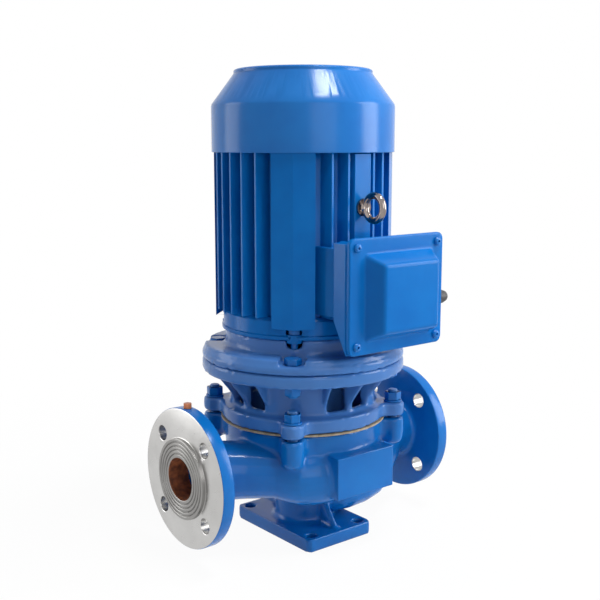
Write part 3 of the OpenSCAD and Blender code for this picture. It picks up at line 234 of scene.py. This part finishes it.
castPaint = enamel("castPaint", 0.12, 0.10, 0.24)
# This enamel is castPaint lifted toward white: painted light on the bracket and the end shield.
castPaintPaintedLight = enamel("castPaintPaintedLight", 0.12, 0.10, 0.24, 0.050)
framePaint = enamel("framePaint", 0.05, 0.05, 0.10)
# The fan cover's enamel is lifted a little toward white: painted light.
coverPaint = enamel("coverPaint", 0.04, 0.04, 0.20, 0.008)
boltPaint = enamel("boltPaint", 0.08, 0.06, 0.25)
threadPaint = ribbed("threadPaint", (0.02, 0.17, 0.49), (0.008, 0.08, 0.26), 0.4, "Z", 0.00175, 0.8, metal=0)
portAxis, shaftAxis = (0, 0, portHeight), (0, 0, 0)
flangeSteel = turnedMetal(
    "flangeSteel", (0.56, 0.555, 0.545), (0.48, 0.475, 0.465), (0.25, 0.32), portAxis, "X", 0.0012, 0.10,
)
# The sealing face is darker than the flange steel: painted shade of its fine grooves.
sealingFace = turnedMetal(
    "sealingFace", (0.31, 0.305, 0.295), (0.24, 0.235, 0.23), (0.3, 0.4), portAxis, "X", 0.0008, 0.15,
)
boreRust = softMatter("boreRust", (0.36, 0.115, 0.042), (0.14, 0.045, 0.022), (0.45, 0.7), 500, 0.5)
copperPlug = plainMetal("copperPlug", (0.52, 0.20, 0.10), (0.24, 0.08, 0.05), (0.35, 0.5))
gasketSheet = softMatter("gasketSheet", (0.46, 0.38, 0.26), (0.30, 0.24, 0.16), (0.7, 0.9), 900, 0.5, 0.3)
blackRubber = softMatter("blackRubber", (0.030, 0.030, 0.030), (0.018, 0.018, 0.018), (0.55, 0.7), 700, 0.3)
# The eye bolt's chrome has a dark base colour: painted reflection of dark surroundings.
eyeChrome = plainMetal("eyeChrome", (0.36, 0.31, 0.29), (0.20, 0.17, 0.16), (0.06, 0.12), 200, 0.03)
screwSteel = plainMetal("screwSteel", (0.66, 0.66, 0.66), (0.5, 0.5, 0.5), (0.22, 0.35))
groundSteel = turnedMetal(
    "groundSteel", (0.70, 0.70, 0.71), (0.58, 0.58, 0.60), (0.12, 0.22), shaftAxis, "Z", 0.001, 0.1,
)
bearingSteel = turnedMetal(
    "bearingSteel", (0.74, 0.74, 0.76), (0.66, 0.66, 0.68), (0.06, 0.14), shaftAxis, "Z", 0.0008, 0.05,
)
sandBronze = plainMetal("sandBronze", (0.64, 0.43, 0.22), (0.46, 0.29, 0.13), (0.32, 0.5), 350, 0.3)
turnedBrass = plainMetal("turnedBrass", (0.76, 0.57, 0.25), (0.62, 0.44, 0.17), (0.2, 0.32))
coreSteel = ribbed("coreSteel", (0.26, 0.27, 0.29), (0.12, 0.125, 0.135), 0.42, "Z", 0.001, 0.6)
copperWire = ribbed("copperWire", (0.58, 0.24, 0.10), (0.28, 0.09, 0.04), 0.34, "DIAGONAL", 0.0016, 0.8)
castAluminium = plainMetal("castAluminium", (0.70, 0.71, 0.72), (0.56, 0.57, 0.58), (0.36, 0.5), 260, 0.25)
sealCeramic = softMatter("sealCeramic", (0.66, 0.63, 0.55), (0.58, 0.55, 0.48), (0.12, 0.2), 300, 0.05)
brownBoard = softMatter("brownBoard", (0.16, 0.065, 0.035), (0.09, 0.035, 0.02), (0.25, 0.4), 300, 0.15)
blackPlastic = softMatter(
    "blackPlastic", (0.035, 0.035, 0.038), (0.022, 0.022, 0.024), (0.4, 0.55), 900, 0.25,
)
print("finishes made")


# Mesh helpers.
weldDistance = 0.00002
sharpAngle = 19
hollowAngle = -0.14
footPlateTop = 0.0165
brokenEdge = {"segments": 2, "angle": 34, "flatAngle": 0.6}
tubeSides = 28


def copyShape(nodeName):
    shape = bmesh.new()
    shape.from_mesh(nodes[nodeName].data)
    bmesh.ops.remove_doubles(shape, verts=shape.verts, dist=weldDistance)
    return shape


def finishPiece(shape, name, body, materials, replaced, sharp=None):
    mesh = bpy.data.meshes.new(name)
    shape.to_mesh(mesh)
    shape.free()
    for material in materials:
        mesh.materials.append(material)
    mesh.shade_smooth()
    if sharp:
        mesh.set_sharp_from_angle(angle=radians(sharp))
    piece = bpy.data.objects.new(name, mesh)
    bpy.context.scene.collection.objects.link(piece)
    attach(piece, body)
    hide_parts(replaced)


# The shape after its modifiers, as a new shape.
def shapeAfter(shape, addModifiers):
    mesh = bpy.data.meshes.new("work")
    shape.to_mesh(mesh)
    shape.free()
    work = bpy.data.objects.new("work", mesh)
    bpy.context.scene.collection.objects.link(work)
    addModifiers(work)
    result = work.evaluated_get(bpy.context.evaluated_depsgraph_get())
    done = bmesh.new()
    done.from_mesh(result.to_mesh())
    result.to_mesh_clear()
    bpy.data.objects.remove(work)
    bpy.data.meshes.remove(mesh)
    return done


def smoothVerts(shape, verts):
    bmesh.ops.smooth_vert(shape, verts=verts, factor=0.5, use_axis_x=True, use_axis_y=True, use_axis_z=True)


# Hollow corners are filled out to a fillet, as in a sand casting. Outer edges and the foot's holes stay.
def fillHollows(shape, rounds, spread):
    shape.normal_update()
    hollow = set()
    for edge in shape.edges:
        if edge.is_manifold and edge.calc_face_angle_signed(0) < hollowAngle:
            hollow.update(edge.verts)
    for step in range(spread):
        hollow |= {edge.other_vert(vert) for vert in hollow for edge in vert.link_edges}
    hollow = [vert for vert in hollow if vert.co.z > footPlateTop]
    for step in range(rounds):
        smoothVerts(shape, hollow)


# A shape as one casting: remeshed evenly, softened, with fillets in its corners.
def castShape(shape, size):
    def addRemesh(work):
        remesh = work.modifiers.new("remesh", "REMESH")
        remesh.mode = "VOXEL"
        remesh.voxel_size = size["grain"]

    def addDecimate(work):
        work.modifiers.new("decimate", "DECIMATE").ratio = size["keep"]

    shape = shapeAfter(shape, addRemesh)
    smoothVerts(shape, shape.verts)
    fillHollows(shape, size["rounds"], size["spread"])
    return shapeAfter(shape, addDecimate) if size["keep"] < 1 else shape


# A node with its outer edges broken by a small round.
def edgedShape(shape, width):
    flatAngle = radians(brokenEdge["flatAngle"])
    bmesh.ops.dissolve_limit(shape, angle_limit=flatAngle, verts=shape.verts, edges=shape.edges)

    def addBevel(work):
        bevel = work.modifiers.new("bevel", "BEVEL")
        bevel.width = width
        bevel.segments = brokenEdge["segments"]
        bevel.limit_method = "ANGLE"
        bevel.angle_limit = radians(brokenEdge["angle"])
        bevel.use_clamp_overlap = False
        bevel.miter_outer = "MITER_ARC"

    return shapeAfter(shape, addBevel)


def cutAcross(shape, spot, normal, capped=True):
    cut = bmesh.ops.bisect_plane(
        shape, geom=shape.verts[:] + shape.edges[:] + shape.faces[:], dist=0.000001,
        plane_co=spot, plane_no=normal, clear_outer=True,
    )
    if capped:
        rim = [part for part in cut["geom_cut"] if isinstance(part, bmesh.types.BMEdge)]
        bmesh.ops.triangle_fill(shape, use_beauty=True, use_dissolve=False, edges=rim)


# A closed tube along a path: each ring has its centre, half width and half height.
def addTube(shape, rings):
    last = len(rings) - 1
    before, skin = set(), set()
    for place, (centre, wide, tall) in enumerate(rings):
        run = (rings[min(place + 1, last)][0] - rings[max(place - 1, 0)][0]).normalized()
        across = run.cross(Vector((0, 0, 1))).normalized()
        rise = across.cross(run)
        spot = Matrix((across * wide, rise * tall, run)).transposed().to_4x4()
        spot.translation = centre
        capped = place in (0, last)
        ring = bmesh.ops.create_circle(shape, cap_ends=capped, segments=tubeSides, radius=1, matrix=spot)
        ring = set(ring["verts"])
        edges = {edge for vert in ring for edge in vert.link_edges}
        if before:
            bmesh.ops.bridge_loops(shape, edges=list(before | edges))
        before = edges
        skin |= ring
    faces = {face for vert in skin for face in vert.link_faces}
    bmesh.ops.recalc_face_normals(shape, faces=list(faces))


# Pump casing: the middle as a casting, the two port flanges crisp.
casing = {
    "grain": 0.002, "rounds": 12, "spread": 2, "keep": 0.8, "cut": 0.160, "flangeFrom": 0.1545,
    "edge": 0.0008, "bore": 0.0262, "hole": 0.0442, "holeWall": 0.0099,
    "raisedFrom": 0.1784, "raised": 0.0480, "faceFrom": 0.1774, "face": 0.0818, "scrollParts": 4,
}
flangeFinishes = [castPaint, flangeSteel, boreRust, sealingFace]

# The suction bend's wide belly under the volute: x, z, half width, half height.
belly = [
    (0.128, 0.088, 0.036, 0.036), (0.114, 0.073, 0.042, 0.034), (0.100, 0.060, 0.050, 0.031),
    (0.084, 0.051, 0.057, 0.029), (0.062, 0.047, 0.061, 0.028), (0.038, 0.046, 0.062, 0.028),
    (0.018, 0.046, 0.058, 0.028), (0.006, 0.046, 0.048, 0.027),
]

# The scroll's full front: angle from X, distance from the shaft, height, half width, half height.
scroll = [
    (-168, 0.084, 0.100, 0.022, 0.020), (-156, 0.084, 0.098, 0.027, 0.026),
    (-144, 0.084, 0.0965, 0.0305, 0.031), (-132, 0.083, 0.095, 0.032, 0.034),
    (-120, 0.081, 0.0945, 0.031, 0.035), (-108, 0.079, 0.0945, 0.029, 0.0345),
    (-96, 0.078, 0.095, 0.026, 0.033), (-84, 0.077, 0.096, 0.023, 0.029), (-72, 0.076, 0.097, 0.020, 0.024),
]


# Rings put in between, evenly, so that the bend shows no facets.
def finerRings(rings, parts):
    finer = []
    for near, far in zip(rings, rings[1:]):
        for step in range(parts):
            finer.append([a + (b - a) * step / parts for a, b in zip(near, far)])
    return finer + [rings[-1]]


def makeCasing(size):
    shape = copyShape("pump_casing")
    for side in (-1, 1):
        cutAcross(shape, (side * size["cut"], 0, 0), (side, 0, 0))
    addTube(shape, [(Vector((x, 0, z)), wide, tall) for x, z, wide, tall in belly])
    bends = []
    for angle, out, z, wide, tall in finerRings(scroll, size["scrollParts"]):
        bends.append((Vector((out * cos(radians(angle)), out * sin(radians(angle)), z)), wide, tall))
    addTube(shape, bends)
    finishPiece(castShape(shape, size), "casingBody", "pump", [castPaint], "pump_casing")


# A flange face's place in flangeFinishes.
def flangeFinish(size, middle, normal, side):
    x, y, z = abs(middle.x), middle.y, middle.z - portHeight
    out = (y ** 2 + z ** 2) ** 0.5
    fromHole = ((abs(y) - size["hole"]) ** 2 + (abs(z) - size["hole"]) ** 2) ** 0.5
    if out < size["bore"] and abs(normal.x) < 0.5:
        return 2
    if x > size["raisedFrom"] and out < size["raised"]:
        return 3
    onFace = x > size["faceFrom"] and out < size["face"] and normal.x * side > -0.1
    return 1 if onFace or fromHole < size["holeWall"] else 0


def makePortFlange(size, side):
    shape = copyShape("pump_casing")
    cutAcross(shape, (side * size["flangeFrom"], 0, 0), (-side, 0, 0), capped=False)
    shape = edgedShape(shape, size["edge"])
    shape.normal_update()
    for face in shape.faces:
        face.material_index = flangeFinish(size, face.calc_center_median(), face.normal, side)
    name = "dischargeFlange" if side < 0 else "suctionFlange"
    finishPiece(shape, name, "pump", flangeFinishes, "pump_casing", sharp=sharpAngle)


makeCasing(casing)
makePortFlange(casing, -1)
makePortFlange(casing, 1)
print("casing made")

# Bracket and flange end shield.
bracket = {"grain": 0.0019, "rounds": 8, "spread": 2, "keep": 0.8}
shield = {"grain": 0.0018, "rounds": 8, "spread": 2, "keep": 0.8}


def makeCasting(nodeName, name, paint, size):
    finishPiece(castShape(copyShape(nodeName), size), name, "pump", [paint], nodeName)


# Both castings take castPaint lifted toward white: painted light.
makeCasting("lantern_bracket", "lanternCasting", castPaintPaintedLight, bracket)
makeCasting("flange_end_shield", "shieldCasting", castPaintPaintedLight, shield)
print("bracket and end shield made")

# Pieces that keep their CAD form, with broken edges: node, name, edge width, finish, slot.
brokenEdges = [
    ("stator_frame", "finnedFrame", 0.0006, framePaint, "blue_paint"),
    ("fan_cover", "fanCover", 0.0006, coverPaint, "blue_paint"),
    ("terminal_box", "boxBody", 0.0012, framePaint, "blue_paint"),
    ("casing_nuts", "casingNuts", 0.0006, boltPaint, "blue_paint"),
    ("flange_nuts", "flangeNuts", 0.0006, boltPaint, "blue_paint"),
    ("flange_bolts", "flangeBolts", 0.0005, boltPaint, "blue_paint"),
    ("shield_bolts", "shieldBolts", 0.0005, boltPaint, "blue_paint"),
    ("casing_washers", "casingWashers", 0.0003, boltPaint, "blue_paint"),
    ("gauge_plug", "gaugePlug", 0.0004, copperPlug, "copper_plug"),
    ("drain_plug", "drainPlug", 0.0005, copperPlug, "copper_plug"),
    ("lid_screws", "lidScrews", 0.0003, boltPaint, "blue_paint"),
    ("cable_gland", "cableGland", 0.0004, blackPlastic, "black_plastic"),
    ("blanking_plug", "blankingPlug", 0.0004, blackPlastic, "black_plastic"),
]
for nodeName, name, width, material, slot in brokenEdges:
    shape = edgedShape(copyShape(nodeName), width)
    finishPiece(shape, name, "pump", [material], nodeName, sharpAngle)
print("edges broken on", len(brokenEdges), "pieces")

# Terminal box lid: a plate with round corners and a pressed front with wide rounds.
lid = {
    "x": (-0.050, 0.096), "z": (0.2515, 0.3825), "back": -0.1375, "thick": 0.005,
    "corner": 0.008, "cornerSteps": 6, "plateEdge": 0.0012, "edgeSteps": 3,
    "frontX": (-0.029, 0.080), "frontZ": (0.2645, 0.366), "face": -0.1645, "lean": 0.012, "sunk": 0.001,
    "frontRound": 0.0035, "frontSteps": 7, "slack": 0.0001,
    "grain": 0.0009, "rounds": 3, "spread": 2, "keep": 1,
}


def roundEdges(shape, edges, width, steps):
    bmesh.ops.bevel(
        shape, geom=edges, offset=width, segments=steps, affect="EDGES", profile=0.5, material=-1,
    )


def makePlate(shape, size):
    plateFront = size["back"] - size["thick"]
    lows = Vector((size["x"][0], plateFront, size["z"][0]))
    highs = Vector((size["x"][1], size["back"], size["z"][1]))
    plate = bmesh.ops.create_cube(shape, size=1)["verts"]
    bmesh.ops.scale(shape, vec=highs - lows, verts=plate)
    bmesh.ops.translate(shape, vec=(lows + highs) / 2, verts=plate)
    corners = [edge for edge in shape.edges if abs(edge.verts[0].co.y - edge.verts[1].co.y) > size["slack"]]
    roundEdges(shape, corners, size["corner"], size["cornerSteps"])
    front = plateFront + size["slack"]
    rim = [edge for edge in shape.edges if all(vert.co.y < front for vert in edge.verts)]
    roundEdges(shape, rim, size["plateEdge"], size["edgeSteps"])


def makeRaisedFront(shape, size):
    front = bmesh.ops.create_cube(shape, size=1)["verts"]
    for vert in front:
        outer = vert.co.y < 0
        inset = size["lean"] if outer else 0
        vert.co.x = size["frontX"][0] + inset if vert.co.x < 0 else size["frontX"][1] - inset
        vert.co.z = size["frontZ"][0] + inset if vert.co.z < 0 else size["frontZ"][1] - inset
        vert.co.y = size["face"] if outer else size["back"] - size["sunk"]
    nearFace = size["face"] + size["slack"]
    edges = {edge for vert in front for edge in vert.link_edges}
    wide = [edge for edge in edges if any(vert.co.y < nearFace for vert in edge.verts)]
    roundEdges(shape, wide, size["frontRound"], size["frontSteps"])


def makeLid(size):
    shape = bmesh.new()
    makePlate(shape, size)
    makeRaisedFront(shape, size)
    finishPiece(castShape(shape, size), "boxLid", "pump", [framePaint], "terminal_box_lid")


makeLid(lid)
print("lid made")

# CAD nodes that stay as they are and take their finish.
finishes = {
    "casing_studs": threadPaint, "casing_gasket": gasketSheet, "wear_ring": sandBronze,
    "impeller": sandBronze, "impeller_key": groundSteel, "impeller_washer": groundSteel,
    "impeller_nut": screwSteel, "seal_seat": sealCeramic, "seal_head": groundSteel,
    "seal_spring": screwSteel, "slinger_ring": blackRubber, "motor_shaft": groundSteel,
    "stator_core": coreSteel, "stator_windings": copperWire, "rotor_core": coreSteel,
    "rotor_cage": castAluminium, "upper_end_shield": castPaint, "upper_shield_screws": screwSteel,
    "bearing_outer_rings": bearingSteel, "bearing_inner_rings": bearingSteel,
    "bearing_balls": bearingSteel, "bearing_cages": turnedBrass, "wave_washer": groundSteel,
    "cooling_fan": blackPlastic, "fan_circlip": groundSteel, "eye_bolt": eyeChrome,
    "terminal_box_gasket": framePaint, "box_screws": screwSteel, "terminal_board": brownBoard,
    "terminal_studs": turnedBrass, "gland_nut": blackPlastic,
}
for nodeName, material in finishes.items():
    mesh = nodes[nodeName].data
    mesh.materials.clear()
    mesh.materials.append(material)
print("finishes on", len(finishes), "nodes")


# Floor and backdrop: white to the camera, with a soft shadow under the foot.
floor = {
    "half": 6.0, "below": 0.0004, "tone": (0.82, 0.82, 0.82), "rough": 0.6,
    "near": 0.95, "fadeFrom": 0.30, "fadeTo": 0.85,
}
surroundings = {"strength": 0.2, "tone": (0.93, 0.96, 1.0)}


def mathNode(tree, operation, first, second):
    step = tree.nodes.new("ShaderNodeMath")
    step.operation = operation
    tree.links.new(first, step.inputs[0])
    tree.links.new(second, step.inputs[1])
    return step.outputs[0]


# Camera, mirror and see-through rays see the background's white.
def whiteToEye(tree, share=None):
    rays = tree.nodes.new("ShaderNodeLightPath").outputs
    seen = mathNode(tree, "MAXIMUM", rays["Is Camera Ray"], rays["Is Glossy Ray"])
    seen = mathNode(tree, "MAXIMUM", seen, rays["Is Transmission Ray"])
    return seen if share is None else mathNode(tree, "MULTIPLY", seen, share)


def makeFloor(size):
    shape = bmesh.new()
    bmesh.ops.create_grid(shape, x_segments=1, y_segments=1, size=size["half"])
    bmesh.ops.translate(shape, vec=(0, 0, -size["below"]), verts=shape.verts)
    mesh = bpy.data.meshes.new("floor")
    shape.to_mesh(mesh)
    shape.free()
    material, tree, shader = freshMaterial("paleFloor")
    shader.inputs["Base Color"].default_value = (*size["tone"], 1)
    shader.inputs["Roughness"].default_value = size["rough"]
    white = tree.nodes.new("ShaderNodeEmission")
    reach = tree.nodes.new("ShaderNodeVectorMath")
    reach.operation = "LENGTH"
    tree.links.new(objectPlace(tree), reach.inputs[0])
    fade = tree.nodes.new("ShaderNodeMapRange")
    fade.inputs["From Min"].default_value = size["fadeFrom"]
    fade.inputs["From Max"].default_value = size["fadeTo"]
    fade.inputs["To Min"].default_value = size["near"]
    tree.links.new(reach.outputs["Value"], fade.inputs["Value"])
    mixed = tree.nodes.new("ShaderNodeMixShader")
    tree.links.new(whiteToEye(tree, fade.outputs["Result"]), mixed.inputs["Fac"])
    tree.links.new(shader.outputs[0], mixed.inputs[1])
    tree.links.new(white.outputs[0], mixed.inputs[2])
    tree.links.new(mixed.outputs[0], tree.nodes["Material Output"].inputs["Surface"])
    mesh.materials.append(material)
    plane = bpy.data.objects.new("floor", mesh)
    bpy.context.scene.collection.objects.link(plane)


def makeWorld(size):
    world = bpy.data.worlds.new("studio")
    bpy.context.scene.world = world
    world.use_nodes = True
    tree = world.node_tree
    light = tree.nodes["Background"]
    light.inputs["Color"].default_value = (*size["tone"], 1)
    light.inputs["Strength"].default_value = size["strength"]
    white = tree.nodes.new("ShaderNodeBackground")
    white.inputs["Color"].default_value = (1, 1, 1, 1)
    white.inputs["Strength"].default_value = 1
    mixed = tree.nodes.new("ShaderNodeMixShader")
    tree.links.new(whiteToEye(tree), mixed.inputs["Fac"])
    tree.links.new(light.outputs[0], mixed.inputs[1])
    tree.links.new(white.outputs[0], mixed.inputs[2])
    tree.links.new(mixed.outputs[0], tree.nodes["World Output"].inputs["Surface"])


makeFloor(floor)
makeWorld(surroundings)
print("floor and world made")
